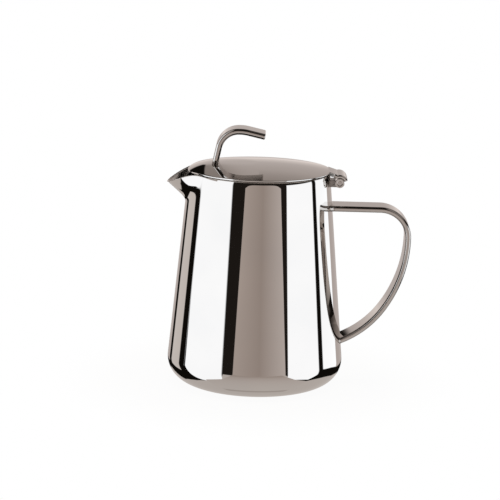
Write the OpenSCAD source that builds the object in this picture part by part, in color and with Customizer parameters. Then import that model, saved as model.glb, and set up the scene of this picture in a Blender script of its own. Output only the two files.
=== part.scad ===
// Small polished steel milk jug with a pouring lip, a strap handle and a hinged lid.
// The lip points to -X, the handle and the hinge are at +X, and the jug stands on z = 0.

/* [Body] */
// Widest diameter, just above the bottom corner
base_d = 80; // [70:1:95]
// Outer diameter at the rim
rim_d = 63.8; // [58:0.2:70]
// Height of the rim above the table
body_h = 97.5; // [88:0.5:115]
// Radius of the bottom corner
corner_r = 11; // [7:0.5:15]
// Sheet thickness of the body
wall = 1; // [0.8:0.1:1.5]

/* [Pouring lip] */
// How far the lip stands out from the cone of the wall
lip_reach = 9.25; // [6:0.25:12]
// How far the lip's tip drops below the rim
lip_droop = 5.7; // [3:0.1:8]
// How far below the rim the lip starts to swell out of the wall
lip_depth = 15; // [13:0.5:22]
// Half of the angle that the swelling takes up round the wall
lip_half = 38; // [28:1:39]
// Half of the angle over which the rim drops
droop_half = 32; // [24:1:38]

/* [Handle] */
// Width of the strap
strap_w = 13.6; // [9:0.5:18]
// Thickness of the handle's strap
strap_t = 2.6; // [2:0.1:3.4]
// Radius of the strap's rounded edges
strap_edge = 0.9; // [0.4:0.1:1]
// Level top run of the handle, measured down from the rim to the strap's middle
handle_drop = 15.6; // [13:0.2:22]
// How far the handle's middle line stands out beyond the widest part of the body
handle_stand = 28; // [22:0.5:34]
// Bend radius of the upper corner
handle_corner_r = 13; // [9:0.5:17]
// Bend radius of the long side
handle_side_r = 58; // [50:1:70]
// Angle of the long side
handle_side_sweep = 35; // [28:1:40]
// Bend radius of the foot that runs in to the wall
handle_foot_r = 43; // [36:1:48]

/* [Lid] */
// How far the lid stands out over the rim
lid_over = 0.4; // [0.2:0.1:1]
// Clear height between the rim and the closed lid
lid_gap = 0.3; // [0.2:0.05:0.5]
// Height of the upright edge
lid_edge = 0.6; // [0.6:0.1:1.6]
// Height of the dome above the upright edge
lid_crown = 2.7; // [2:0.1:6]
// Fullness of the dome: 2 is a plain parabola, more is flatter with a rounder shoulder
lid_power = 2; // [2:0.1:4]
// Sheet thickness of the dome
lid_t = 0.7; // [0.5:0.1:0.8]
// Width of the flat ring that meets the rim
lid_seat = 1.4; // [1:0.1:2]
// Sheet thickness of the locating skirt
skirt_t = 0.8; // [0.6:0.1:1]
// How far the skirt reaches below the rim
skirt_depth = 2.5; // [1.5:0.1:2.8]
// Clearance between the skirt and the rim's inside, which the lid's swing needs
skirt_clear = 1.4; // [1.3:0.1:3]

/* [Thumb curl] */
// Thickness of the curl's strap
curl_t = 2.7; // [2:0.1:3.4]
// Middle line of the curl's level top, above the top of the dome
curl_rise = 14.6; // [11:0.1:18]
// Distance of the curl's highest point from the jug's axis, towards the lip
curl_offset = 9.6; // [6:0.1:13]
// Lean of the riser from the vertical
curl_lean = 12; // [8:1:24]
// Bend radius of the main bend
curl_bend_r = 9; // [6:0.5:10]
// Length of the level top between the two bends
curl_flat = 0.6; // [0.2:0.1:3]
// Bend radius of the drooping end
curl_end_r = 16.4; // [12:0.2:22]
// Slope of the straight end
curl_slope = 12.5; // [6:0.5:20]
// Length of the straight end
curl_end_l = 7.8; // [5:0.2:12]

/* [Hinge] */
// Distance of the hinge axis outside the rim
hinge_out = 4.2; // [4:0.1:5.5]
// Depth of the hinge axis below the rim
hinge_drop = 3.6; // [3.4:0.1:4.2]
// Width of the whole hinge
hinge_w = 16; // [14:0.5:22]
// Width of the middle knuckle on the body
lug_w = 7; // [5:0.5:9]
// Outer radius of the lid's knuckles
knuckle_r = 2.15; // [1.9:0.05:2.3]
// Radius of the pin
pin_r = 1; // [0.7:0.05:1.1]
// Radial running clearance of the pin in the middle knuckle
pin_clear = 0.05; // [0.02:0.01:0.1]
// Gap between the middle knuckle and what swings round it
hinge_gap = 0.3; // [0.25:0.05:0.4]
// Thickness of the lid's tongue
tongue_t = 1.6; // [1:0.1:1.7]
// Angle above the level at which the tongue's curl ends
tongue_end = 20; // [10:1:40]
// Angle at which the tongue leaves the lid, sloping down to the barrel
tongue_slope = 18; // [15:1:28]
// How far the lug's heel reaches below the axis, to stop the tongue
heel_drop = 2.6; // [2.4:0.1:3.2]

/* [Hidden] */
$fn = 96;
base_r = base_d/2;
rim_r = rim_d/2;
// The bottom corner runs into the cone where their tangents meet
corner_x = base_r - corner_r;
taper = atan((base_r - rim_r)/(body_h - corner_r));
cone_r0 = corner_x + corner_r*cos(taper);
cone_z0 = corner_r + corner_r*sin(taper);
// Steps of the body's mesh: fine round the lip, coarse elsewhere
lip_span = 40;
lip_step = 2;
wall_step = 7;
corner_steps = 6;
lip_rows = 9;
// Share of the lip's height that blends out of the wall, before it runs straight
lip_blend = 0.37;
lip_z0 = body_h - lip_depth;
// The floor disc overlaps the corner's flat inner edge
floor_edge = 4;
// Pieces that are cut to the wall start this far inside it, and bores are cut this far beyond their ends
bite = 4;
// The tongue's two stretches run into each other by this much, so that they make one solid
lap = 0.002;
edge_steps = 4;
// Largest turn between two rows of a strap's mesh, in degrees
strap_step = 3;
handle_z = body_h - handle_drop;
handle_x = base_r + handle_stand;
foot_x = handle_x - handle_side_r + (handle_side_r - handle_foot_r)*cos(handle_side_sweep);
foot_z = handle_z - handle_corner_r - (handle_side_r - handle_foot_r)*sin(handle_side_sweep);
foot_end = acos((base_r - bite - foot_x)/handle_foot_r);
lid_r = rim_r + lid_over;
lid_z0 = body_h + lid_gap;
lid_steps = 14;
lid_seat_r = lid_r - lid_seat;
skirt_r = rim_r - wall - skirt_clear;
// Room for the weld between the skirt and the dome
weld_gap = 0.05;
curl_z = lid_out(0) + curl_rise;
hinge_x = rim_r + hinge_out;
hinge_z = body_h - hinge_drop;
knuckle_w = (hinge_w - lug_w)/2 - hinge_gap;
lug_r = knuckle_r - hinge_gap;
tongue_r = knuckle_r + tongue_t/2;
// Quarter turn, in degrees
quarter = 90;

// Radius of the plain cone at a height
function body_r(z) = cone_r0 + (rim_r - cone_r0)*(z - cone_z0)/(body_h - cone_z0);

// Soft hump over an angle: 1 in the middle, 0 at half and beyond
function hump(a, half) = abs(a) < half ? pow(cos(quarter*a/half), 2) : 0;

// Growth of the lip from 0 to 1 up its height: a soft start, then a straight run
function ramp(u) = (u < lip_blend ? u*u/(2*lip_blend) : u - lip_blend/2)/(1 - lip_blend/2);

// Points of an arc about (x, z), followed clockwise, each with its heading
function arc(x, z, r, a0, a1) =
    let (n = ceil((a0 - a1)/strap_step))
    [for (k = [0:n])
        let (a = a0 + (a1 - a0)*k/n)
        [x + r*cos(a), z + r*sin(a), a - quarter]];

// Two lines that meet, without the point that they share
function join(a, b) = concat(a, [for (k = [1:len(b) - 1]) b[k]]);

function rim_z(a) = body_h - lip_droop*hump(a, droop_half);

// Outer and inner height of the dome at a radius
function lid_out(r) = lid_z0 + lid_edge + lid_crown*(1 - pow(r/lid_r, lid_power));
function lid_in(r) = lid_out(r) - lid_t;
dome_line = [for (k = [0:lid_steps]) let (r = lid_r*sin(quarter*k/lid_steps)) [r, lid_out(r)]];

// Angles round the body, from -X, the lip's direction
angles = concat([for (a = [-lip_span:lip_step:lip_span]) a],
                [for (a = [lip_span + wall_step:wall_step:360 - lip_span - wall_step]) a]);

function ring(r, z) = [for (a = angles) [-r*cos(a), -r*sin(a), z]];

// Angle of a step round the bottom corner, from flat underneath to the cone
function corner_turn(k) = (quarter + taper)*k/corner_steps - quarter;

function corner_row(r, k) =
    ring(corner_x + r*cos(corner_turn(k)), corner_r + r*sin(corner_turn(k)));

// One row of the wall and lip, at share u of the way from the lip's start to the rim
function wall_row(u, inset) = [for (a = angles)
    let (z = lip_z0 + u*(rim_z(a) - lip_z0),
         r = body_r(z) + lip_reach*hump(a, lip_half)*ramp(u) - inset)
    [-r*cos(a), -r*sin(a), z]];

module jug_shell() {
    rows = concat([ring(corner_x - floor_edge, 0)],
                  [for (k = [0:corner_steps]) corner_row(corner_r, k)],
                  [for (k = [0:lip_rows]) wall_row(k/lip_rows, 0)],
                  [for (k = [lip_rows:-1:0]) wall_row(k/lip_rows, wall)],
                  [for (k = [corner_steps:-1:0]) corner_row(corner_r - wall, k)],
                  [ring(corner_x - floor_edge, wall)]);
    n = len(angles);
    m = len(rows);
    faces = [for (i = [0:m - 1], j = [0:n - 1], half = [0, 1])
        let (a = i*n + j, b = ((i + 1)%m)*n + j, c = ((i + 1)%m)*n + (j + 1)%n, d = i*n + (j + 1)%n)
        half == 0 ? [a, b, c] : [a, c, d]];
    polyhedron([for (row = rows, p = row) p], faces);
}

// Solid of the body's outside without its lip, to cut pieces to the wall
module wall_solid() {
    corner = [for (k = [0:corner_steps])
        let (turn = corner_turn(k))
        [corner_x + corner_r*cos(turn), corner_r + corner_r*sin(turn)]];
    rotate_extrude()
        polygon(concat([[0, 0]], corner, [[rim_r, body_h], [0, body_h]]));
}

// Flat strap that follows a line of [x, z, heading] in the XZ plane, with rounded edges
module strap(line, t, r) {
    section = [for (q = [0:3], k = [0:edge_steps])
        let (turn = quarter*(q + k/edge_steps),
             up = (q == 0 || q == 3) ? 1 : -1,
             side = q < 2 ? 1 : -1)
        [up*(t/2 - r) + r*cos(turn), side*(strap_w/2 - r) + r*sin(turn)]];
    n = len(section);
    m = len(line);
    points = [for (p = line, c = section) [p[0] - c[0]*sin(p[2]), c[1], p[1] + c[0]*cos(p[2])]];
    faces = [for (i = [0:m - 2], j = [0:n - 1], half = [0, 1])
        let (a = i*n + j, b = a + n, c = i*n + (j + 1)%n + n, d = i*n + (j + 1)%n)
        half == 0 ? [a, c, b] : [a, d, c]];
    ends = [[for (j = [n - 1:-1:0]) j], [for (j = [0:n - 1]) (m - 1)*n + j]];
    polyhedron(points, concat(faces, ends));
}

// Stretch of a bent strip in the XZ plane, on an arc from angle a0 to a1 about (x, z)
module bend(x, z, r, a0, a1) {
    turn = lap/r*180/PI;
    translate([x, 0, z])
        rotate([quarter, 0, 0])
            rotate_extrude(start = a0 - turn, angle = a1 - a0 + 2*turn)
                translate([r, 0])
                    children();
}

// Straight stretch of strip from (x, z), heading at an angle above the level
module run(x, z, heading, length) {
    translate([x, 0, z])
        rotate([0, quarter - heading, 0])
            translate([0, 0, -lap])
                linear_extrude(length + 2*lap)
                    children();
}

module jug_body() {
    color("silver")
        union() {
            jug_shell();
            cylinder(h = wall, r = corner_x - floor_edge/2);
        }
}

module handle_strap() {
    corner_cz = handle_z - handle_corner_r;
    corner = arc(handle_x - handle_corner_r, corner_cz, handle_corner_r, quarter, 0);
    side = arc(handle_x - handle_side_r, corner_cz, handle_side_r, 0, -handle_side_sweep);
    foot = arc(foot_x, foot_z, handle_foot_r, -handle_side_sweep, -foot_end);
    start = [[body_r(handle_z) - bite, handle_z, 0]];
    color("silver")
        difference() {
            strap(concat(start, join(join(corner, side), foot)), strap_t, strap_edge);
            wall_solid();
        }
}

// Round bar along the hinge axis, from y0
module hinge_bar(y0, w, r) {
    translate([hinge_x, y0 + w, hinge_z])
        rotate([quarter, 0, 0])
            cylinder(h = w, r = r);
}

// Knuckle of the lid, with the pin tight in its bore
module knuckle(y0) {
    difference() {
        hinge_bar(y0, knuckle_w, knuckle_r);
        hinge_bar(y0 - bite, knuckle_w + 2*bite, pin_r);
    }
}

module hinge_lug() {
    heel_x = rim_r - bite;
    heel_top = knuckle_r/4;
    color("silver")
        difference() {
            union() {
                hinge_bar(-lug_w/2, lug_w, lug_r);
                translate([heel_x, -lug_w/2, hinge_z - heel_drop])
                    cube([hinge_x - hinge_gap - heel_x, lug_w, heel_drop + heel_top]);
            }
            hinge_bar(-lug_w, 2*lug_w, pin_r + pin_clear);
            wall_solid();
        }
}

module hinge_pin() {
    color("gainsboro")
        hinge_bar(-hinge_w/2, hinge_w, pin_r);
}

module lid_dome() {
    inner = [for (k = [lid_steps:-1:0]) let (r = lid_seat_r*sin(quarter*k/lid_steps)) [r, lid_in(r)]];
    color("silver")
        rotate_extrude()
            polygon(concat(dome_line, [[lid_r, lid_z0], [lid_seat_r, lid_z0]], inner));
}

module lid_skirt() {
    inner_r = skirt_r - skirt_t;
    low = body_h - skirt_depth;
    color("silver")
        rotate_extrude()
            polygon([[inner_r, low], [skirt_r, low],
                     [skirt_r, lid_in(skirt_r) - weld_gap], [inner_r, lid_in(inner_r) - weld_gap]]);
}

module lid_tongue() {
    leave = quarter + tongue_slope;
    reach = hinge_out + lid_over + bite;
    color("silver")
        difference() {
            union() {
                bend(hinge_x, hinge_z, tongue_r, tongue_end, leave)
                    square([tongue_t, hinge_w], center = true);
                run(hinge_x + tongue_r*cos(leave), hinge_z + tongue_r*sin(leave),
                    180 - tongue_slope, reach)
                    square([tongue_t, hinge_w], center = true);
            }
            translate([0, 0, hinge_z])
                cylinder(h = 2*hinge_w, r = lid_r);
        }
}

module lid_knuckle_near() {
    color("silver")
        knuckle(-hinge_w/2);
}

module lid_knuckle_far() {
    color("silver")
        knuckle(hinge_w/2 - knuckle_w);
}

// Solid under the dome's outer face, to cut the curl's foot to the lid
module dome_solid() {
    rotate_extrude()
        polygon(concat(dome_line, [[lid_r, 0], [0, 0]]));
}

module thumb_curl() {
    bend_z = curl_z - curl_bend_r;
    riser_l = curl_rise + lid_crown;
    main = arc(-curl_offset, bend_z, curl_bend_r, 180 - curl_lean, quarter);
    end = arc(curl_flat - curl_offset, curl_z - curl_end_r, curl_end_r, quarter, quarter - curl_slope);
    foot = [[main[0][0] - riser_l*sin(curl_lean), main[0][1] - riser_l*cos(curl_lean), main[0][2]]];
    last = end[len(end) - 1];
    tip = [[last[0] + curl_end_l*cos(curl_slope), last[1] - curl_end_l*sin(curl_slope), last[2]]];
    color("silver")
        difference() {
            strap(concat(foot, main, end, tip), curl_t, strap_edge);
            dome_solid();
        }
}

jug_body();
handle_strap();
hinge_lug();
hinge_pin();
lid_dome();
lid_skirt();
lid_tongue();
lid_knuckle_near();
lid_knuckle_far();
thumb_curl();
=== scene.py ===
"""Polished steel milk jug with a hinged lid: looks, studio and camera."""
import math

import bmesh
import bpy
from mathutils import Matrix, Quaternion, Vector


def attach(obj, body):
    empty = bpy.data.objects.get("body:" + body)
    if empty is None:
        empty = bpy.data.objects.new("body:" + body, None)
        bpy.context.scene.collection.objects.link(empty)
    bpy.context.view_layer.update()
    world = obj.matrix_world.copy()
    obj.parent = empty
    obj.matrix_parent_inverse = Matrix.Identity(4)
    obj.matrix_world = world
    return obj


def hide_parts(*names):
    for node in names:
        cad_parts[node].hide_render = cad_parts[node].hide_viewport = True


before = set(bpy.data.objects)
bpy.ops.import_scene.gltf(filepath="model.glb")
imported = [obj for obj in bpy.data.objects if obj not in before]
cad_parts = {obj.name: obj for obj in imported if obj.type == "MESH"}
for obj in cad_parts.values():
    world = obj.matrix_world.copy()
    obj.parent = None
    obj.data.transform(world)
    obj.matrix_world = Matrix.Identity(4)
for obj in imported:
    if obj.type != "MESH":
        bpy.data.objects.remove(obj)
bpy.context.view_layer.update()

MM = 0.001

# Sizes of the jug in millimetres. Most follow the part's source; the rounder strap and tongue edges,
# the lip's arc, and the full front and nose of the lid are the scene's own.
BASE_R, RIM_R, BODY_H, CORNER_R, WALL = 40.0, 31.9, 97.5, 11.0, 1.0
LIP_REACH, LIP_DROOP, LIP_DEPTH, LIP_HALF, DROOP_HALF, LIP_BLEND = 9.25, 5.7, 15.0, 38.0, 32.0, 0.37
STRAP_W, STRAP_T, STRAP_EDGE, TONGUE_EDGE = 13.6, 2.6, 1.15, 0.75
HANDLE_Z, HANDLE_X, HANDLE_CORNER_R, HANDLE_SIDE_R = 81.9, 68.0, 13.0, 58.0
HANDLE_SIDE_SWEEP, HANDLE_FOOT_R = 35.0, 43.0
LID_R, LID_Z0, LID_EDGE, LID_CROWN, LID_POWER, LID_T, LID_SEAT_R = 32.3, 97.8, 0.6, 2.7, 2.0, 0.7, 30.9
LID_FRONT_FULL, LID_NOSE = 2.2, 0.8
SKIRT_R, SKIRT_T, SKIRT_LOW = 29.5, 0.8, 95.0
CURL_T, CURL_Z, CURL_OFFSET, CURL_LEAN, CURL_BEND_R = 2.7, 115.7, 9.6, 12.0, 9.0
CURL_FLAT, CURL_END_R, CURL_SLOPE, CURL_END_L = 0.6, 16.4, 12.5, 7.8
HINGE_X, HINGE_Z, HINGE_W, LUG_W, LUG_R = 36.1, 93.9, 16.0, 7.0, 1.85
KNUCKLE_R, KNUCKLE_W, PIN_R, PIN_CLEAR, HINGE_GAP = 2.15, 4.2, 1.0, 0.05, 0.3
TONGUE_T, TONGUE_END, TONGUE_SLOPE, HEEL_DROP = 1.6, 20.0, 18.0, 2.6

CORNER_X = BASE_R - CORNER_R
TAPER = math.atan2(BASE_R - RIM_R, BODY_H - CORNER_R)
CONE_R0 = CORNER_X + CORNER_R*math.cos(TAPER)
CONE_Z0 = CORNER_R + CORNER_R*math.sin(TAPER)
LIP_Z0 = BODY_H - LIP_DEPTH
LIP_ARC = 5.0


def smooth(low, high, x):
    t = min(1.0, max(0.0, (x - low)/(high - low)))
    return t*t*(3 - 2*t)


def body_r(z):
    return CONE_R0 + (RIM_R - CONE_R0)*(z - CONE_Z0)/(BODY_H - CONE_Z0)


def hump(a, half):
    return math.cos(math.pi/2*a/half)**2 if abs(a) < half else 0.0


def ramp(u):
    grown = u*u/(2*LIP_BLEND) if u < LIP_BLEND else u - LIP_BLEND/2
    return grown/(1 - LIP_BLEND/2)


def rim_z(a):
    return BODY_H - LIP_DROOP*hump(a, DROOP_HALF)


def lip_start(a):
    """Height at which the pressed lip leaves the wall. It rises in an arc from the middle to the flanks."""
    return LIP_Z0 + LIP_ARC*(1 - hump(a, LIP_HALF))


def lid_out(x, y):
    """Height of the dome's outer face. The pressing is fuller towards the lip."""
    r = math.hypot(x, y)
    forward = max(0.0, -x/r) if r > 0 else 0.0
    crown = LID_CROWN*(1 - (r/LID_R)**(LID_POWER + LID_FRONT_FULL*forward**2))
    return LID_Z0 + LID_EDGE + crown - nose_drop(x, y)


def nose_drop(x, y):
    """The lid's front edge dips a little over the lip."""
    return LID_NOSE*hump(math.degrees(math.atan2(y, -x)), DROOP_HALF + 8)*(math.hypot(x, y)/LID_R)**6


# Steel finishes

def node(tree, kind, at, **settings):
    made = tree.nodes.new(kind)
    made.location = at
    for key, value in settings.items():
        setattr(made, key, value)
    return made


def steel(name, light, dark, rough, wave, grain, grain_depth, rub_and_reflection_tone=(0.72, 0.70, 0.68)):
    """Polished steel: soft tone clouds, buffing haze, wavy sheet and fine polishing lines.

    It takes another tone where it is rubbed, and on the straps a dark tone along the rounded edges that is
    a painted reflection."""
    made = bpy.data.materials.new(name)
    made.use_nodes = True
    tree = made.node_tree
    tree.nodes.clear()
    link = tree.links.new
    out = node(tree, "ShaderNodeOutputMaterial", (900, 0))
    skin = node(tree, "ShaderNodeBsdfPrincipled", (600, 0))
    skin.inputs["Metallic"].default_value = 1.0
    link(skin.outputs["BSDF"], out.inputs["Surface"])
    where = node(tree, "ShaderNodeTexCoord", (-1100, 0))
    rub_and_reflection = node(tree, "ShaderNodeAttribute", (-700, -450), attribute_name="wear_and_edge_reflection")

    clouds = node(tree, "ShaderNodeTexNoise", (-700, 250))
    clouds.inputs["Scale"].default_value = 38.0
    clouds.inputs["Detail"].default_value = 4.0
    link(where.outputs["Object"], clouds.inputs["Vector"])
    tone = node(tree, "ShaderNodeValToRGB", (-450, 250))
    tone.color_ramp.elements[0].position = 0.3
    tone.color_ramp.elements[0].color = (*dark, 1)
    tone.color_ramp.elements[1].position = 0.7
    tone.color_ramp.elements[1].color = (*light, 1)
    link(clouds.outputs["Fac"], tone.inputs["Fac"])
    edge_tone = node(tree, "ShaderNodeMix", (150, 250), data_type="RGBA")
    edge_tone.inputs["B"].default_value = (*rub_and_reflection_tone, 1)
    link(rub_and_reflection.outputs["Fac"], edge_tone.inputs["Factor"])
    link(tone.outputs["Color"], edge_tone.inputs["A"])
    link(edge_tone.outputs["Result"], skin.inputs["Base Color"])

    haze = node(tree, "ShaderNodeTexNoise", (-700, 0))
    haze.inputs["Scale"].default_value = 130.0
    haze.inputs["Detail"].default_value = 6.0
    haze.inputs["Roughness"].default_value = 0.62
    link(where.outputs["Object"], haze.inputs["Vector"])
    spread = node(tree, "ShaderNodeMapRange", (-450, 0))
    spread.inputs["From Min"].default_value = 0.35
    spread.inputs["From Max"].default_value = 0.75
    spread.inputs["To Min"].default_value = rough[0]
    spread.inputs["To Max"].default_value = rough[1]
    link(haze.outputs["Fac"], spread.inputs["Value"])
    edge_rough = node(tree, "ShaderNodeMath", (150, 0), operation="MULTIPLY_ADD")
    edge_rough.inputs[1].default_value = 0.09
    link(rub_and_reflection.outputs["Fac"], edge_rough.inputs[0])
    link(spread.outputs["Result"], edge_rough.inputs[2])
    link(edge_rough.outputs["Value"], skin.inputs["Roughness"])

    swell = node(tree, "ShaderNodeTexNoise", (-700, -200))
    swell.inputs["Scale"].default_value = 21.0
    swell.inputs["Detail"].default_value = 1.0
    link(where.outputs["Object"], swell.inputs["Vector"])
    sheet = node(tree, "ShaderNodeBump", (-150, -200))
    sheet.inputs["Strength"].default_value = 1.0
    sheet.inputs["Distance"].default_value = wave
    link(swell.outputs["Fac"], sheet.inputs["Height"])
    turn = node(tree, "ShaderNodeMapping", (-900, -700))
    turn.inputs["Scale"].default_value = grain
    link(where.outputs["Object"], turn.inputs["Vector"])
    lines = node(tree, "ShaderNodeTexNoise", (-700, -700))
    lines.inputs["Scale"].default_value = 1.0
    lines.inputs["Detail"].default_value = 3.0
    link(turn.outputs["Vector"], lines.inputs["Vector"])
    polish = node(tree, "ShaderNodeBump", (150, -300))
    polish.inputs["Strength"].default_value = 1.0
    polish.inputs["Distance"].default_value = grain_depth
    link(lines.outputs["Fac"], polish.inputs["Height"])
    link(sheet.outputs["Normal"], polish.inputs["Normal"])
    link(polish.outputs["Normal"], skin.inputs["Normal"])
    return made


body_mirror = steel("body_mirror_steel", (0.675, 0.645, 0.62), (0.645, 0.62, 0.60), (0.008, 0.026),
                    0.00004, (60, 60, 5200), 0.00000005)
inside_buffed = steel("inside_buffed_steel", (0.64, 0.615, 0.59), (0.60, 0.575, 0.555), (0.12, 0.18),
                      0.00003, (90, 90, 6500), 0.0000004)
inside_satin = steel("inside_satin_steel", (0.60, 0.585, 0.57), (0.50, 0.485, 0.47), (0.20, 0.34),
                     0.00003, (90, 90, 6500), 0.000006)
lid_mirror = steel("lid_mirror_steel", (0.675, 0.645, 0.62), (0.645, 0.62, 0.60), (0.008, 0.026),
                   0.00003, (2600, 2600, 300), 0.00000005)
lid_satin = steel("lid_underside_steel", (0.60, 0.585, 0.57), (0.52, 0.505, 0.49), (0.16, 0.28),
                  0.00003, (3000, 3000, 300), 0.000004)
# Its dark edge tone is a painted reflection along the straps' rounded edges.
strap_mirror = steel("strap_mirror_steel", (0.66, 0.635, 0.61), (0.63, 0.605, 0.585), (0.03, 0.07),
                     0.00002, (500, 4200, 500), 0.00000008, (0.22, 0.20, 0.185))
# The strap's underside and the riser's face towards the hinge: a rougher satin finish, with a darker tone
# that is painted shade.
strap_satin_painted_shade = steel("strap_underside_painted_shade_steel", (0.46, 0.43, 0.405), (0.41, 0.38, 0.36), (0.20, 0.30),
                    0.00002, (500, 4200, 500), 0.000002)
# The lug's steel: a satin finish, with a dark tone that is painted shade round the hinge.
hinge_painted_shade_satin = steel("hinge_painted_shade_satin_steel", (0.31, 0.29, 0.275), (0.25, 0.235, 0.22), (0.20, 0.32),
                    0.00001, (3800, 400, 3800), 0.0000004, (0.42, 0.40, 0.38))
hinge_polish = steel("hinge_polished_steel", (0.64, 0.62, 0.60), (0.56, 0.54, 0.52), (0.06, 0.14),
                     0.00001, (3800, 400, 3800), 0.0000003)


# Making of the pieces

def new_piece(name, mesh):
    made = bpy.data.objects.new(name, mesh)
    bpy.context.scene.collection.objects.link(made)
    return made


def plain(piece):
    """Turns a piece with modifiers into a plain mesh."""
    shown = piece.evaluated_get(bpy.context.evaluated_depsgraph_get())
    mesh = bpy.data.meshes.new_from_object(shown)
    old = piece.data
    piece.modifiers.clear()
    piece.data = mesh
    mesh.name = piece.name
    bpy.data.meshes.remove(old)
    return piece


def even_normals(piece):
    """Wide flat faces keep a true mirror, and the bend of the light stays in the rounded edges."""
    piece.data.shade_smooth()
    weighted = piece.modifiers.new("even_normals", "WEIGHTED_NORMAL")
    weighted.mode = "FACE_AREA"
    weighted.weight = 90
    return plain(piece)


def face_outward(mesh):
    work = bmesh.new()
    work.from_mesh(mesh)
    bmesh.ops.remove_doubles(work, verts=work.verts, dist=1e-7)
    bmesh.ops.recalc_face_normals(work, faces=work.faces)
    work.to_mesh(mesh)
    work.free()


def set_wear_and_edge_reflection(mesh, share):
    """Stores how rubbed each point is, and on the straps how strong the painted dark edge reflection is,
    from its place in millimetres.
    """
    store = mesh.attributes.new("wear_and_edge_reflection", "FLOAT", "POINT")
    for point, place in zip(mesh.vertices, store.data):
        place.value = share(point.co/MM)


def set_in_place(piece, body, cad_node):
    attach(piece, body)
    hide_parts(cad_node)


def skin_rows(name, rows, finishes, finish_of, poles=True):
    """Closed rows of points joined by quads.

    A pole closes each end, or else the last row meets the first."""
    count = len(rows[0])
    points = [p for row in rows for p in row]
    faces, kinds = [], []
    last = len(rows) - 1 if poles else len(rows)
    for i in range(last):
        for j in range(count):
            k = (j + 1) % count
            low, high = i*count, (i + 1) % len(rows)*count
            faces.append((low + j, low + k, high + k, high + j))
            kinds.append(finish_of(i))
    if poles:
        for row, flip in ((0, True), (len(rows) - 1, False)):
            middle = sum((Vector(p) for p in rows[row]), Vector())/count
            points.append(tuple(middle))
            tip = len(points) - 1
            for j in range(count):
                pair = (row*count + j, row*count + (j + 1) % count)
                faces.append((tip, pair[1], pair[0]) if flip else (tip, pair[0], pair[1]))
                kinds.append(finish_of(min(row, last - 1)))
    mesh = bpy.data.meshes.new(name)
    mesh.from_pydata([tuple(c*MM for c in p) for p in points], [], faces)
    for finish in finishes:
        mesh.materials.append(finish)
    mesh.polygons.foreach_set("material_index", kinds)
    mesh.update()
    face_outward(mesh)
    mesh.shade_smooth()
    return new_piece(name, mesh)


def turned(profile, count):
    """Rows of a turned profile of (radius, height) about the jug's axis."""
    steps = [2*math.pi*j/count for j in range(count)]
    return [[(r*math.cos(a), r*math.sin(a), z) for a in steps] for r, z in profile]


def turned_on_pin(profile, count):
    """Rows of a turned profile of (radius, place along Y) about the hinge axis."""
    steps = [2*math.pi*j/count for j in range(count)]
    return [[(HINGE_X + r*math.cos(a), y, HINGE_Z + r*math.sin(a)) for a in steps] for r, y in profile]


def rounding(x, z, r, start, end, steps):
    """Points of a small arc in a profile, in degrees."""
    return [(x + r*math.cos(math.radians(start + (end - start)*k/steps)),
             z + r*math.sin(math.radians(start + (end - start)*k/steps))) for k in range(steps + 1)]


# Body shell

ROUND = 320
RIM_ROLL, RIM_ROLL_H = 0.25, 2.2
RIM_CROWN = WALL*0.35
# Shares of the height from the lip's start to the rim, closer together where the lip flares
WALL_STEPS = [k/30 for k in range(21)] + [0.70, 0.74, 0.78, 0.82, 0.85, 0.88, 0.90, 0.915, 0.93, 0.943,
                                          0.955, 0.965, 0.973, 0.98]
# Radius and height of the rings of the dished underside
UNDERSIDE = [(8, 0.45), (18, 0.42), (24, 0.34), (26, 0.18), (27.4, 0.04), (28.2, 0.0)]
FOOT_WEAR_H, RIM_WEAR_H = 1.2, 0.3


def ring_row(r, z):
    return [(-r*math.cos(2*math.pi*j/ROUND), -r*math.sin(2*math.pi*j/ROUND), z) for j in range(ROUND)]


def corner_row(r, share):
    turn = (math.pi/2 + TAPER)*share - math.pi/2
    return ring_row(CORNER_X + r*math.cos(turn), CORNER_R + r*math.sin(turn))


def wall_row(u, inset):
    """A row up the wall and lip. The sheet turns in a little at the rim, but not along the lip."""
    row = []
    for j in range(ROUND):
        a = 360*j/ROUND
        a = a - 360 if a > 180 else a
        z = LIP_Z0 + u*(rim_z(a) - LIP_Z0)
        swell = hump(a, LIP_HALF)
        roll = RIM_ROLL*max(0.0, 1 - (rim_z(a) - z)/RIM_ROLL_H)**2*(1 - smooth(0, 0.25, swell))
        grown = max(0.0, (z - lip_start(a))/(rim_z(a) - lip_start(a)))
        r = body_r(z) + LIP_REACH*swell*ramp(grown) - inset - roll
        row.append((-r*math.cos(math.radians(a)), -r*math.sin(math.radians(a)), z))
    return row


def rim_row(turn):
    """A row over the rounded rim, from the outside at 0 to the inside at 180 degrees."""
    outer, inner = wall_row(1, 0), wall_row(1, WALL)
    row = []
    for o, i in zip(outer, inner):
        o, i = Vector(o), Vector(i)
        middle, half = (o + i)/2, (o - i)/2
        lift = Vector((0, 0, RIM_CROWN*math.sin(math.radians(turn))))
        row.append(tuple(middle + half*math.cos(math.radians(turn)) + lift - Vector((0, 0, RIM_CROWN))))
    return row


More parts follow.
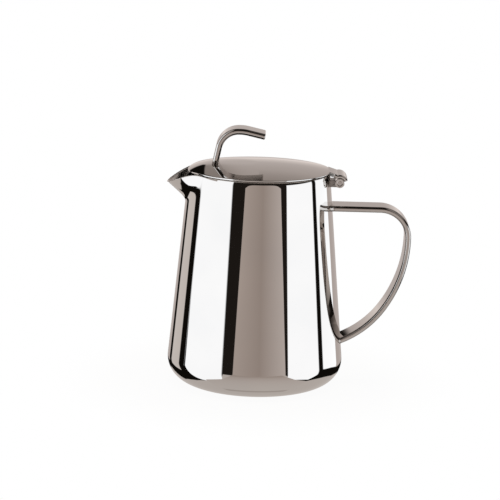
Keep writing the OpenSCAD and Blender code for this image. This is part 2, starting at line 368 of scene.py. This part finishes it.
def make_body():
    under = [ring_row(r, z) for r, z in UNDERSIDE]
    corner = [corner_row(CORNER_R, k/32) for k in range(33)]
    heights = [CONE_Z0 + 0.35] + [CONE_Z0 + (LIP_Z0 - CONE_Z0)*k/8 for k in range(1, 8)]
    cone = [ring_row(body_r(z), z) for z in heights]
    outer = [wall_row(u, 0) for u in WALL_STEPS]
    rim = [rim_row(t) for t in range(0, 181, 20)]
    inner = [wall_row(u, WALL) for u in reversed(WALL_STEPS)]
    depths = [CONE_Z0 + (LIP_Z0 - CONE_Z0)*k/6 for k in range(5, 0, -1)]
    well = [ring_row(body_r(z) - WALL, z) for z in depths]
    pit = [corner_row(CORNER_R - WALL, k/14) for k in range(14, -1, -1)]
    floor = [ring_row(r, WALL) for r in (24, 12)]
    rows = under + corner + cone + outer + rim + inner + well + pit + floor
    first_inside = len(under) + len(corner) + len(cone) + len(outer) + len(rim)
    first_satin = first_inside + len(inner)//2
    piece = skin_rows("body_shell", rows, [body_mirror, inside_buffed, inside_satin],
                      lambda i: int(i >= first_inside) + int(i >= first_satin))
    rim_wear_z = BODY_H - RIM_WEAR_H
    set_wear_and_edge_reflection(piece.data, lambda p: max(smooth(FOOT_WEAR_H, 0.0, p.z) if p.z < FOOT_WEAR_H else 0.0,
                                       smooth(rim_wear_z, BODY_H, p.z) if p.z > rim_wear_z else 0.0))
    set_in_place(piece, "jug", "jug_body")


# Bent bands: the handle, the thumb curl and the lid's tongue

def band_tree():
    """A flat band with rounded edges, swept along a centre line in the XZ plane."""
    tree = bpy.data.node_groups.new("bent_band", "GeometryNodeTree")
    sockets = {}
    for name, kind in (("Centre Line", "Geometry"), ("Width", "Float"), ("Thickness", "Float"),
                       ("Edge Radius", "Float"), ("Edge Steps", "Int"), ("Finish", "Material")):
        sockets[name] = tree.interface.new_socket(name, in_out="INPUT", socket_type="NodeSocket" + kind)
    tree.interface.new_socket("Band", in_out="OUTPUT", socket_type="NodeSocketGeometry")
    link = tree.links.new
    given = node(tree, "NodeGroupInput", (-800, 0))
    result = node(tree, "NodeGroupOutput", (900, 0))
    line = node(tree, "GeometryNodeMeshToCurve", (-550, 100))
    level = node(tree, "GeometryNodeSetCurveNormal", (-350, 100), mode="FREE")
    level.inputs["Normal"].default_value = (0, 1, 0)
    section = node(tree, "GeometryNodeCurvePrimitiveQuadrilateral", (-550, -150))
    edge = node(tree, "GeometryNodeFilletCurve", (-350, -150), mode="POLY")
    sweep = node(tree, "GeometryNodeCurveToMesh", (-100, 0))
    sweep.inputs["Fill Caps"].default_value = True
    real = node(tree, "GeometryNodeRealizeInstances", (350, 0))
    coat = node(tree, "GeometryNodeSetMaterial", (600, 0))
    link(given.outputs["Centre Line"], line.inputs["Mesh"])
    link(line.outputs["Curve"], level.inputs["Curve"])
    link(given.outputs["Width"], section.inputs["Width"])
    link(given.outputs["Thickness"], section.inputs["Height"])
    link(section.outputs["Curve"], edge.inputs["Curve"])
    link(given.outputs["Edge Radius"], edge.inputs["Radius"])
    link(given.outputs["Edge Steps"], edge.inputs["Count"])
    link(level.outputs["Curve"], sweep.inputs["Curve"])
    link(edge.outputs["Curve"], sweep.inputs["Profile Curve"])
    link(sweep.outputs["Mesh"], real.inputs["Geometry"])
    link(real.outputs["Geometry"], coat.inputs["Geometry"])
    link(given.outputs["Finish"], coat.inputs["Material"])
    link(coat.outputs["Geometry"], result.inputs["Band"])
    return tree, {name: socket.identifier for name, socket in sockets.items()}


bent_band, band_input = band_tree()


def arc(x, z, r, start, end, step=1.5):
    count = math.ceil(abs(end - start)/step)
    return rounding(x, z, r, start, end, count)


def swept_band(name, line, width, thick, edge, finish):
    mesh = bpy.data.meshes.new(name + "_line")
    mesh.from_pydata([(x*MM, 0, z*MM) for x, z in line], [(i, i + 1) for i in range(len(line) - 1)], [])
    piece = new_piece(name, mesh)
    sweep = piece.modifiers.new("bent_band", "NODES")
    sweep.node_group = bent_band
    for label, value in (("Width", width*MM), ("Thickness", thick*MM), ("Edge Radius", edge*MM),
                         ("Edge Steps", 7), ("Finish", finish)):
        sweep[band_input[label]] = value
    plain(piece)
    face_outward(piece.data)
    return piece


def end_points(piece, at, heading):
    """The points of a band's end row: those in the plane across the line there."""
    place, ahead = Vector((at[0], 0, at[1])), Vector((heading[0], 0, heading[1])).normalized()
    return [v for v in piece.data.vertices if abs((v.co/MM - place).dot(ahead)) < 1e-3
            and (v.co/MM - place).length < STRAP_W], ahead


def fit_end(piece, at, heading, beyond):
    """Slides the end row along the line until it lies on a surface, where beyond(point) is 0."""
    row, ahead = end_points(piece, at, heading)
    for v in row:
        low, high = -8.0, 8.0
        for _ in range(40):
            middle = (low + high)/2
            if beyond(v.co/MM + ahead*middle) > 0:
                low = middle
            else:
                high = middle
        v.co = (v.co/MM + ahead*low)*MM


def round_tip(piece, at, heading, radius):
    """Rounds the free end of a band."""
    row, _ = end_points(piece, at, heading)
    chosen = {v.index for v in row}
    weight = piece.data.attributes.new("bevel_weight_edge", "FLOAT", "EDGE")
    for edge, store in zip(piece.data.edges, weight.data):
        store.value = 1.0 if set(edge.vertices) <= chosen else 0.0
    bevel = piece.modifiers.new("rounded_tip", "BEVEL")
    bevel.limit_method = "WEIGHT"
    bevel.width = radius*MM
    bevel.segments = 4
    plain(piece)


def edge_wear(half, edge):
    return lambda p: smooth(half - 1.2*edge, half - 0.2*edge, abs(p.y))*0.6


def painted_edge_reflection(most):
    """Painted reflection: the straps get a darker line along their rounded edges, as if they mirrored
    something dark there.
    """
    start = STRAP_W/2 - STRAP_EDGE
    return lambda p: most*math.sin(math.pi*min(1.0, max(0.0, (abs(p.y) - start)/STRAP_EDGE)))


def make_handle():
    corner_z = HANDLE_Z - HANDLE_CORNER_R
    swing = math.radians(HANDLE_SIDE_SWEEP)
    foot_x = HANDLE_X - HANDLE_SIDE_R + (HANDLE_SIDE_R - HANDLE_FOOT_R)*math.cos(swing)
    foot_z = corner_z - (HANDLE_SIDE_R - HANDLE_FOOT_R)*math.sin(swing)
    foot_end = math.degrees(math.acos((BASE_R - 1.5 - foot_x)/HANDLE_FOOT_R))
    top_x = body_r(HANDLE_Z) + 1.0
    bend_x = HANDLE_X - HANDLE_CORNER_R
    line = [(top_x + (bend_x - top_x)*k/48, HANDLE_Z) for k in range(48)]
    line += arc(bend_x, corner_z, HANDLE_CORNER_R, 90, 0)
    line += arc(HANDLE_X - HANDLE_SIDE_R, corner_z, HANDLE_SIDE_R, 0, -HANDLE_SIDE_SWEEP)[1:]
    line += arc(foot_x, foot_z, HANDLE_FOOT_R, -HANDLE_SIDE_SWEEP, -foot_end)[1:]
    piece = swept_band("handle_band", line, STRAP_W, STRAP_T, STRAP_EDGE, strap_mirror)
    into_wall = lambda p: math.hypot(p.x, p.y) - body_r(p.z) + 0.35
    fit_end(piece, line[0], (-1, 0), into_wall)
    fit_end(piece, line[-1], (line[-1][0] - line[-2][0], line[-1][1] - line[-2][1]), into_wall)
    even_normals(piece)
    # Painted reflection: a dark line along the handle's rounded edges.
    set_wear_and_edge_reflection(piece.data, painted_edge_reflection(0.85))
    set_in_place(piece, "jug", "handle_strap")


def make_curl():
    bend_z = CURL_Z - CURL_BEND_R
    lean, slope = math.radians(CURL_LEAN), math.radians(CURL_SLOPE)
    bend = arc(-CURL_OFFSET, bend_z, CURL_BEND_R, 180 - CURL_LEAN, 90)
    droop = arc(CURL_FLAT - CURL_OFFSET, CURL_Z - CURL_END_R, CURL_END_R, 90, 90 - CURL_SLOPE)
    foot = [(bend[0][0] - run*math.sin(lean), bend[0][1] - run*math.cos(lean))
            for run in (7.0, 6.0, 5.0, 4.0, 3.0, 2.0, 1.5, 1.0, 0.5)]
    tip = [(droop[-1][0] + run*math.cos(slope), droop[-1][1] - run*math.sin(slope))
           for run in [CURL_END_L*k/16 for k in range(1, 17)]]
    line = foot + bend + droop + tip
    piece = swept_band("thumb_curl_band", line, STRAP_W, CURL_T, STRAP_EDGE, strap_mirror)
    fit_end(piece, line[0], (-math.sin(lean), -math.cos(lean)),
            lambda p: p.z - lid_out(p.x, p.y) + 0.3)
    round_tip(piece, line[-1], (math.cos(slope), -math.sin(slope)), 0.5)
    even_normals(piece)
    # Faces that point down, and the riser's face towards the hinge, take the satin steel with its painted
    # shade.
    piece.data.materials.append(strap_satin_painted_shade)
    for face in piece.data.polygons:
        on_riser = face.normal.x > 0.8 and face.center.x < -CURL_OFFSET*MM
        face.material_index = int(face.normal.z < -0.6 or on_riser)
    # Painted reflection: a fainter dark line along the curl's rounded edges.
    set_wear_and_edge_reflection(piece.data, painted_edge_reflection(0.25))
    set_in_place(piece, "lid", "thumb_curl")


def make_tongue():
    middle_r = KNUCKLE_R + TONGUE_T/2
    leave = 90 + TONGUE_SLOPE
    slope = math.radians(TONGUE_SLOPE)
    line = arc(HINGE_X, HINGE_Z, middle_r, TONGUE_END, leave, 4)
    line += [(line[-1][0] - run*math.cos(slope), line[-1][1] + run*math.sin(slope)) for run in (0.4, 0.8)]
    piece = swept_band("lid_tongue_band", line, HINGE_W, TONGUE_T, TONGUE_EDGE, hinge_polish)
    fit_end(piece, line[-1], (-math.cos(slope), math.sin(slope)),
            lambda p: math.hypot(p.x, p.y) - LID_R + 0.1)
    tip = math.radians(TONGUE_END)
    round_tip(piece, line[0], (math.sin(tip), -math.cos(tip)), 0.3)
    even_normals(piece)
    set_wear_and_edge_reflection(piece.data, edge_wear(HINGE_W/2, 0.5))
    set_in_place(piece, "lid", "lid_tongue")


# Lid and hinge

def dome_row(r, drop, count=288):
    """A row of points at one radius, on the dome's outer face or this far under it."""
    steps = [2*math.pi*j/count for j in range(count)]
    spots = [(r*math.cos(a), r*math.sin(a)) for a in steps]
    return [(x, y, lid_out(x, y) - drop) for x, y in spots]


def make_lid():
    shoulder, foot = 0.25, 0.15
    edge_z = LID_Z0 + LID_EDGE
    rows = [dome_row((LID_R - shoulder)*math.sin(math.pi/2*k/40), 0) for k in range(1, 38)]
    edge = rounding(LID_R - shoulder, edge_z - shoulder + 0.03, shoulder, 74, 0, 6)
    edge += rounding(LID_R - foot, LID_Z0 + foot, foot, 0, -90, 4)
    edge += [(LID_R - 0.5, LID_Z0)]
    seat = [(LID_SEAT_R + 0.05, LID_Z0), (LID_SEAT_R, LID_Z0 + 0.04)]
    outside = len(rows) + len(edge)
    rows += [[(x, y, z - nose_drop(x, y)) for x, y, z in row] for row in turned(edge + seat, 288)]
    rows += [dome_row(LID_SEAT_R*k/16, LID_T) for k in range(16, 0, -1)]
    piece = skin_rows("lid_cover", rows, [lid_mirror, lid_satin], lambda i: int(i >= outside))
    set_wear_and_edge_reflection(piece.data, lambda p: 0.5*smooth(LID_R - 0.3, LID_R, math.hypot(p.x, p.y)))
    set_in_place(piece, "lid", "lid_dome")


def make_skirt():
    inner = SKIRT_R - SKIRT_T
    nose = 0.3
    profile = rounding(inner + nose, SKIRT_LOW + nose, nose, -180, -90, 4)
    profile += rounding(SKIRT_R - nose, SKIRT_LOW + nose, nose, -90, 0, 4)
    middle_z, gap = 96.5, 0.02
    profile += [(SKIRT_R, middle_z), (SKIRT_R, lid_out(SKIRT_R, 0) - LID_T - gap),
                (inner, lid_out(inner, 0) - LID_T - gap), (inner, middle_z)]
    piece = skin_rows("lid_locating_ring", turned(profile, 240), [lid_satin], lambda i: 0, poles=False)
    even_normals(piece)
    set_wear_and_edge_reflection(piece.data, lambda p: 0.4*smooth(SKIRT_LOW + 0.3, SKIRT_LOW, p.z))
    set_in_place(piece, "lid", "lid_skirt")


def make_knuckle(name, cad_node, start):
    end = start + KNUCKLE_W
    soft = 0.22
    bore, mouth, chamfer = PIN_R + 0.01, PIN_R + 0.04, 0.03
    profile = rounding(KNUCKLE_R - soft, end - soft, soft, 90, 0, 4)
    profile += rounding(KNUCKLE_R - soft, start + soft, soft, 0, -90, 4)
    profile += [(mouth, start), (bore, start + chamfer), (bore, end - chamfer), (mouth, end)]
    piece = skin_rows(name, turned_on_pin(profile, 72), [hinge_polish], lambda i: 0, poles=False)
    even_normals(piece)
    set_wear_and_edge_reflection(piece.data, edge_wear(HINGE_W/2, 0.4))
    set_in_place(piece, "lid", cad_node)


def make_pin():
    half, soft = HINGE_W/2 - 0.02, 0.05
    profile = [(0.45, half)] + rounding(PIN_R - soft, half - soft, soft, 90, 0, 4)
    profile += rounding(PIN_R - soft, soft - half, soft, 0, -90, 4) + [(0.45, -half)]
    piece = skin_rows("hinge_pin_rod", turned_on_pin(profile, 56), [hinge_polish], lambda i: 0)
    even_normals(piece)
    set_wear_and_edge_reflection(piece.data, lambda p: 0.3)
    set_in_place(piece, "lid", "hinge_pin")


def make_lug():
    """The middle knuckle with its heel on the wall, and a bore for the pin."""
    low, high, reach = HINGE_Z - HEEL_DROP, HINGE_Z + KNUCKLE_R/4, HINGE_X - HINGE_GAP
    start = -90 - math.degrees(math.asin(HINGE_GAP/LUG_R))
    stop = 180 - math.degrees(math.asin(KNUCKLE_R/4/LUG_R))
    outline = [(body_r(low) - 0.9, low), (reach, low)] + rounding(HINGE_X, HINGE_Z, LUG_R, start, stop, 40)
    outline += [(body_r(high) - 0.9, high)]
    bore = rounding(HINGE_X, HINGE_Z, PIN_R + PIN_CLEAR, 0, 360 - 7.5, 47)
    work = bmesh.new()
    half = LUG_W/2
    for loop in (outline, bore):
        points = [work.verts.new((x*MM, -half*MM, z*MM)) for x, z in loop]
        for j in range(len(points)):
            work.edges.new((points[j], points[(j + 1) % len(points)]))
    bmesh.ops.triangle_fill(work, use_beauty=True, edges=work.edges[:])
    side = bmesh.ops.extrude_face_region(work, geom=work.faces[:])
    moved = [g for g in side["geom"] if isinstance(g, bmesh.types.BMVert)]
    bmesh.ops.translate(work, vec=(0, LUG_W*MM, 0), verts=moved)
    bmesh.ops.recalc_face_normals(work, faces=work.faces)
    mesh = bpy.data.meshes.new("hinge_lug_block")
    work.to_mesh(mesh)
    work.free()
    # The lug's dark tone is painted shade.
    mesh.materials.append(hinge_painted_shade_satin)
    piece = new_piece("hinge_lug_block", mesh)
    soft = piece.modifiers.new("soft_edges", "BEVEL")
    soft.limit_method = "ANGLE"
    soft.angle_limit = math.radians(40)
    soft.width = 0.12*MM
    soft.segments = 3
    plain(piece)
    even_normals(piece)
    set_wear_and_edge_reflection(piece.data, edge_wear(LUG_W/2, 0.3))
    set_in_place(piece, "jug", "hinge_lug")


make_body()
make_handle()
make_lid()
make_skirt()
make_curl()
make_tongue()
make_knuckle("lid_knuckle_near_barrel", "lid_knuckle_near", -HINGE_W/2)
make_knuckle("lid_knuckle_far_barrel", "lid_knuckle_far", HINGE_W/2 - KNUCKLE_W)
make_pin()
make_lug()


# Studio

TAUPE_L = (0.518, 0.446, 0.407)
TAUPE_M = (0.405, 0.340, 0.306)
TAUPE_R = (0.609, 0.546, 0.518)
PALE = (0.757, 0.705, 0.672)
BACK = (0.56, 0.50, 0.475)
BACK_DARK = (0.30, 0.262, 0.24)
WHITE = (1.42, 1.48, 1.54)
BLACK = (0.006, 0.005, 0.004)
DIM = (0.016, 0.013, 0.011)
CEILING = (0.52, 0.475, 0.45)
APRON = (0.49, 0.43, 0.40)
TABLE = (0.62, 0.575, 0.545)
# Painted contact shadow on the front sheet, by the jug's foot
PAINTED_CONTACT_SHADOW = (0.42, 0.37, 0.345)

# Panels and flags round the jug: where each starts, in degrees from the camera's side, and its tone
PANELS = [(-180, BACK), (-151, BLACK), (-141, PALE), (-117.3, BLACK), (-104.3, WHITE), (-42.3, BLACK),
          (44.6, WHITE), (93.7, BLACK), (102, WHITE), (137.5, BACK)]
# The taupe card in front: its middle, its half width at the horizon, how much that grows for each degree
# down, its top, and how far its corners are cut
CARD_MIDDLE, CARD_HALF, CARD_FAN, CARD_TOP, CARD_CORNER = 6.5, 29.3, 0.92, 12.0, 15.0
# Elevation of the panels' foot and of the table's edge, round the turn
PANEL_FOOT = [(-180, -14), (-149, -16), (-141, -17), (-130, -21), (-117, -24), (-108, -22), (-104.3, -6.5),
              (-103, -8), (-101, -12), (-99.5, -20), (-97, -29), (-92, -36), (-85, -40), (-77, -41),
              (-60, -36), (-44, -28), (-41, -7), (43, -7), (46, -22), (58, -26), (82, -31), (96, -16),
              (100, -9), (120, -12), (141, -16.4), (180, -14)]
TABLE_EDGE = [(-180, -16), (-156, -22), (-150, -28), (-146, -34), (-142, -38), (-122, -42), (-104, -44),
              (-92, -43), (-85, -42.5), (-77, -41), (-60, -36), (-44, -28), (-41, -7), (43, -7), (46, -22),
              (58, -27), (82, -36), (96, -33), (120, -30), (141, -28), (180, -16)]
# Tone of the back wall by its height
BACK_RISE = [(-4, BACK), (0, (0.82, 0.74, 0.70)), (4, (0.68, 0.61, 0.575)), (9, (0.545, 0.487, 0.462)),
             (16, (0.50, 0.445, 0.42)), (24, (0.47, 0.415, 0.39))]
# Edge of the dark flag behind the lip: the angle of turn at each height
SHOULDER = [(6, -173), (10, -174.2), (11.5, -174.6), (17.8, -172.8), (24.5, -170.9), (36, -167.5)]
# Outline of the pale sheet that lies on the table in front of the jug, in millimetres
SHEET = [(-32, -36), (-27, -52), (-68, -150), (87, -140), (36, -48), (34, -34)]


def turn_share(degrees):
    return (degrees + 180)/360


def height_share(degrees):
    return (degrees + 90)/180


def fill_ramp(ramp_node, stops):
    points = ramp_node.color_ramp
    points.interpolation = "LINEAR"
    while len(points.elements) > 1:
        points.elements.remove(points.elements[-1])
    points.elements[0].position = stops[0][0]
    points.elements[0].color = (*stops[0][1], 1)
    for place, tone in stops[1:]:
        points.elements.new(place).color = (*tone, 1)


def make_world():
    """The studio that the steel mirrors.

    Each direction has the tone of the panel, flag or table that stands there."""
    world = bpy.data.worlds.new("studio")
    bpy.context.scene.world = world
    world.use_nodes = True
    tree = world.node_tree
    tree.nodes.clear()
    link = tree.links.new

    def sums(operation, at, *terms):
        """A Math node. Each term is a socket or a number."""
        made = node(tree, "ShaderNodeMath", at, operation=operation)
        for place, term in zip(made.inputs, terms):
            if isinstance(term, (int, float)):
                place.default_value = term
            else:
                link(term, place)
        return made.outputs["Value"]

    def ramp_over(value, stops, at):
        made = node(tree, "ShaderNodeValToRGB", at)
        fill_ramp(made, stops)
        link(value, made.inputs["Fac"])
        return made

    def step(value, low, high, at):
        """0 below low and 1 above high."""
        made = node(tree, "ShaderNodeMapRange", at, interpolation_type="SMOOTHSTEP")
        made.inputs["From Min"].default_value = low
        made.inputs["From Max"].default_value = high
        link(value, made.inputs["Value"])
        return made.outputs["Result"]

    def mix(first, second, share, at):
        """Each of the two is a socket or a tone."""
        made = node(tree, "ShaderNodeMix", at, data_type="RGBA")
        for name, value in (("A", first), ("B", second)):
            if isinstance(value, tuple):
                made.inputs[name].default_value = (*value, 1)
            else:
                link(value, made.inputs[name])
        link(share, made.inputs["Factor"])
        return made.outputs["Result"]

    where = node(tree, "ShaderNodeTexCoord", (-1600, 0))
    parts = node(tree, "ShaderNodeSeparateXYZ", (-1400, 0))
    link(where.outputs["Generated"], parts.inputs["Vector"])
    ahead = sums("MULTIPLY", (-1200, 150), parts.outputs["Y"], -1.0)
    turn = sums("DEGREES", (-800, 150), sums("ARCTAN2", (-1000, 150), parts.outputs["X"], ahead))
    share = sums("MULTIPLY_ADD", (-600, 150), turn, 1/360, 0.5)
    lift = sums("DEGREES", (-800, -150), sums("ARCSINE", (-1000, -150), parts.outputs["Z"]))
    height = sums("MULTIPLY_ADD", (-600, -150), lift, 1/180, 0.5)

    def within(start, end, soft, at):
        """1 between two angles of the turn, 0 elsewhere."""
        rise = step(turn, start - soft, start + soft, at)
        fall = step(turn, end - soft, end + soft, (at[0], at[1] - 250))
        return sums("SUBTRACT", (at[0] + 200, at[1]), rise, fall)

    def above(edge, soft, at):
        """1 above an edge whose elevation changes round the turn, 0 below it."""
        x, y = at
        line = ramp_over(share, [(turn_share(angle), (0.5 + height/180,)*3) for angle, height in edge], at)
        level = sums("MULTIPLY_ADD", (x + 300, y), line.outputs["Color"], 180.0, -90.0)
        return step(sums("SUBTRACT", (x + 500, y), lift, level), -soft, soft, (x + 700, y))

    def right_of(edge, soft, at):
        """1 to the right of an edge whose angle of turn changes with the elevation, 0 to the left of it."""
        x, y = at
        stops = [(height_share(level), (turn_share(angle),)*3) for level, angle in edge]
        line = ramp_over(height, stops, at)
        angle = sums("MULTIPLY_ADD", (x + 300, y), line.outputs["Color"], 360.0, -180.0)
        return step(sums("SUBTRACT", (x + 500, y), turn, angle), -soft, soft, (x + 700, y))

    soft = 0.35
    stops = [(0.0, PANELS[0][1])]
    for (_, before), (start, after) in zip(PANELS, PANELS[1:]):
        stops += [(turn_share(start - soft), before), (turn_share(start + soft), after)]
    room = ramp_over(share, stops, (0, 700)).outputs["Color"]

    rise_stops = [(height_share(level), tone) for level, tone in BACK_RISE]
    far_tone = ramp_over(height, rise_stops, (0, 950)).outputs["Color"]
    shade_stops = [(height_share(10), (0.0,)*3), (height_share(14), (1.0,)*3)]
    shade = ramp_over(height, shade_stops, (0, 1200)).outputs["Color"]
    dusk = sums("SUBTRACT", (500, 1350), step(turn, -180, -174, (300, 1350)),
                step(turn, -101, -100, (300, 1500)))
    wall = mix(far_tone, BACK_DARK, sums("MULTIPLY", (600, 1200), shade, dusk), (700, 950))
    high_dusk = sums("MULTIPLY", (650, 1500), step(lift, 17, 31, (500, 1500)),
                     step(turn, 152, 180, (500, 1650)))
    wall = mix(wall, BACK_DARK, sums("MULTIPLY", (800, 1500), high_dusk, 0.75), (850, 950))
    right_wall = step(turn, 137.15, 137.85, (300, 1000))
    left_wall = step(turn, -150.65, -151.35, (300, 1100))
    room = mix(room, wall, sums("MAXIMUM", (500, 1000), right_wall, left_wall), (900, 800))

    low_lift = sums("MINIMUM", (-400, 500), lift, 2.0)
    half = sums("MULTIPLY_ADD", (-200, 500), low_lift, -CARD_FAN, CARD_HALF)
    across = sums("DIVIDE", (0, 450), sums("SUBTRACT", (-200, 350), turn, CARD_MIDDLE), half)
    tone = ramp_over(sums("MULTIPLY_ADD", (150, 450), across, 0.5, 0.5),
                     [(0.0, TAUPE_L), (0.5, TAUPE_M), (1.0, TAUPE_R)], (300, 450)).outputs["Color"]
    side = sums("ABSOLUTE", (150, 300), across)
    corner = sums("MULTIPLY", (300, 200), sums("POWER", (150, 150), side, 6.0), CARD_CORNER)
    over_top = step(sums("ADD", (450, 100), lift, corner), CARD_TOP - 0.7, CARD_TOP + 0.7, (450, -50))
    card = sums("MULTIPLY", (800, 300), step(side, 1.012, 0.988, (600, 300)),
                sums("SUBTRACT", (700, 150), 1.0, over_top))
    front = within(-42, 44.3, 0.4, (0, -100))
    aside = step(sums("ABSOLUTE", (-200, -1500), parts.outputs["X"]), 0.2, 0.4, (0, -1500))
    card_sky = sums("MULTIPLY", (400, -1500), aside, step(lift, 21, 34, (200, -1500)))
    over_card = mix(DIM, CEILING, card_sky, (600, -1500))
    front_tone = mix(over_card, tone, card, (900, 450))
    room = mix(room, front_tone, front, (1050, 600))

    flag = sums("MULTIPLY", (900, -350), right_of(SHOULDER, 0.35, (0, -500)),
                step(turn, -147, -151, (700, -350)))
    flag = sums("MULTIPLY", (1050, -350), flag, step(lift, 9, 11, (900, -500)))
    room = mix(room, BLACK, flag, (1200, 600))
    over_panels = mix(DIM, CEILING, step(lift, 22, 34, (700, -1400)), (900, -1400))
    panel_top = sums("MULTIPLY", (1050, -500), step(lift, 8.5, 10.5, (900, -650)),
                     within(40, 137.5, 0.35, (700, -1250)))
    room = mix(room, over_panels, panel_top, (1300, 600))
    left_top = sums("MULTIPLY", (1050, -800), step(lift, 8.5, 10.5, (900, -800)),
                    within(-104.3, -72, 0.35, (700, -1800)))
    room = mix(room, CEILING, left_top, (1350, 700))
    high_sky = sums("MULTIPLY", (400, -1650), aside, step(lift, 45, 60, (200, -1650)))
    ceiling = mix(DIM, CEILING, high_sky, (600, -1650))
    room = mix(room, ceiling, step(lift, 30, 62, (900, -350)), (1400, 600))
    room = mix(BLACK, room, above(PANEL_FOOT, 0.5, (0, -800)), (1500, 600))
    near = sums("MULTIPLY", (900, -600), step(lift, -20, -12, (700, -600)),
                within(-29, 31, 0.4, (500, -900)))
    table = mix(TABLE, APRON, near, (1350, 300))
    room = mix(table, room, above(TABLE_EDGE, 0.5, (0, -1100)), (1650, 600))

    path = node(tree, "ShaderNodeLightPath", (1350, 0))
    mirrored = sums("MAXIMUM", (1550, 0), path.outputs["Is Glossy Ray"],
                    path.outputs["Is Transmission Ray"])
    light = mix((0.62, 0.62, 0.62), room, mirrored, (1800, 300))
    seen = mix(light, (1.0, 1.0, 1.0), path.outputs["Is Camera Ray"], (1950, 150))
    glow = node(tree, "ShaderNodeBackground", (2150, 150))
    link(seen, glow.inputs["Color"])
    out = node(tree, "ShaderNodeOutputWorld", (2350, 150))
    link(glow.outputs["Background"], out.inputs["Surface"])


def make_sheet():
    """A pale sheet on the table in front, which only the steel mirrors. It darkens away from the jug, and a
    thin dark ring near the jug's foot is a painted contact shadow.
    """
    mesh = bpy.data.meshes.new("front_sheet")
    mesh.from_pydata([(x*MM, y*MM, 0) for x, y in SHEET], [], [range(len(SHEET))])
    piece = new_piece("front_sheet", mesh)
    made = bpy.data.materials.new("pale_sheet")
    made.use_nodes = True
    tree = made.node_tree
    tree.nodes.clear()
    link = tree.links.new
    where = node(tree, "ShaderNodeTexCoord", (-600, 0))
    far = node(tree, "ShaderNodeVectorMath", (-400, 0), operation="LENGTH")
    link(where.outputs["Object"], far.inputs[0])
    span = node(tree, "ShaderNodeMapRange", (-200, 0))
    span.inputs["From Min"].default_value = 0.036
    span.inputs["From Max"].default_value = 0.12
    link(far.outputs["Value"], span.inputs["Value"])
    tone = node(tree, "ShaderNodeValToRGB", (0, 0))
    # A thin darker ring near the jug's foot: painted contact shadow.
    fill_ramp(tone, [(0.0, TABLE), (0.014, TABLE), (0.026, PAINTED_CONTACT_SHADOW), (0.038, TABLE),
                     (0.34, (0.55, 0.49, 0.46)), (1.0, (0.44, 0.375, 0.34))])
    link(span.outputs["Result"], tone.inputs["Fac"])
    glow = node(tree, "ShaderNodeEmission", (300, 0))
    link(tone.outputs["Color"], glow.inputs["Color"])
    out = node(tree, "ShaderNodeOutputMaterial", (500, 0))
    link(glow.outputs["Emission"], out.inputs["Surface"])
    mesh.materials.append(made)
    piece.visible_camera = piece.visible_diffuse = piece.visible_shadow = False


def make_floor():
    """A plain pale disc under the jug.

    It shows white to the camera, keeps a faint shadow, and fades out at its edge."""
    reach = 0.105
    work = bmesh.new()
    bmesh.ops.create_circle(work, cap_ends=True, segments=160, radius=reach)
    mesh = bpy.data.meshes.new("floor")
    work.to_mesh(mesh)
    work.free()
    piece = new_piece("floor", mesh)
    piece.visible_glossy = False
    piece.location.z = -0.00005
    made = bpy.data.materials.new("pale_floor")
    made.use_nodes = True
    tree = made.node_tree
    tree.nodes.clear()
    link = tree.links.new
    out = node(tree, "ShaderNodeOutputMaterial", (900, 0))
    both = node(tree, "ShaderNodeMixShader", (700, 0))
    paint = node(tree, "ShaderNodeBsdfDiffuse", (400, 100))
    paint.inputs["Color"].default_value = (0.70, 0.645, 0.60, 1)
    glow = node(tree, "ShaderNodeEmission", (400, -100))
    glow.inputs["Color"].default_value = (1, 1, 1, 1)
    where = node(tree, "ShaderNodeTexCoord", (-600, 0))
    far = node(tree, "ShaderNodeVectorMath", (-400, 0), operation="LENGTH")
    link(where.outputs["Object"], far.inputs[0])
    fade = node(tree, "ShaderNodeMapRange", (-200, 0), interpolation_type="SMOOTHSTEP")
    fade.inputs["From Min"].default_value = 0.05
    fade.inputs["From Max"].default_value = reach - 0.005
    fade.inputs["To Min"].default_value = 0.95
    fade.inputs["To Max"].default_value = 1.0
    link(far.outputs["Value"], fade.inputs["Value"])
    path = node(tree, "ShaderNodeLightPath", (-200, -300))
    seen = node(tree, "ShaderNodeMath", (50, -300), operation="MAXIMUM")
    link(path.outputs["Is Camera Ray"], seen.inputs[0])
    link(path.outputs["Is Transmission Ray"], seen.inputs[1])
    share = node(tree, "ShaderNodeMath", (250, -200), operation="MULTIPLY")
    link(seen.outputs["Value"], share.inputs[0])
    link(fade.outputs["Result"], share.inputs[1])
    link(share.outputs["Value"], both.inputs["Fac"])
    link(paint.outputs["BSDF"], both.inputs[1])
    link(glow.outputs["Emission"], both.inputs[2])
    link(both.outputs["Shader"], out.inputs["Surface"])
    mesh.materials.append(made)


def make_lamp():
    lamp = bpy.data.lights.new("overhead_softbox", "AREA")
    lamp.shape = "DISK"
    lamp.size = 1.0
    lamp.energy = 9.0
    piece = bpy.data.objects.new("overhead_softbox", lamp)
    piece.location = (0, 0, 1.4)
    piece.visible_glossy = False
    piece.visible_camera = False
    bpy.context.scene.collection.objects.link(piece)


def make_camera():
    lens = bpy.data.cameras.new("camera")
    lens.lens = 142.08
    lens.sensor_width = 36.0
    lens.shift_x, lens.shift_y = -0.01348, 0.05114
    lens.clip_start, lens.clip_end = 0.05, 20.0
    piece = bpy.data.objects.new("camera", lens)
    target, far, lift, roll = Vector((0, 0, 0.04874)), 0.9017, math.radians(12.853), math.radians(1.5465)
    back = Vector((0, -math.cos(lift), math.sin(lift)))
    piece.location = target + back*far
    piece.rotation_mode = "QUATERNION"
    piece.rotation_quaternion = (-back).to_track_quat("-Z", "Y") @ Quaternion((0, 0, 1), roll)
    bpy.context.scene.collection.objects.link(piece)
    bpy.context.scene.camera = piece


make_world()
make_sheet()
make_floor()
make_lamp()
make_camera()
bpy.context.scene.view_settings.view_transform = "Standard"
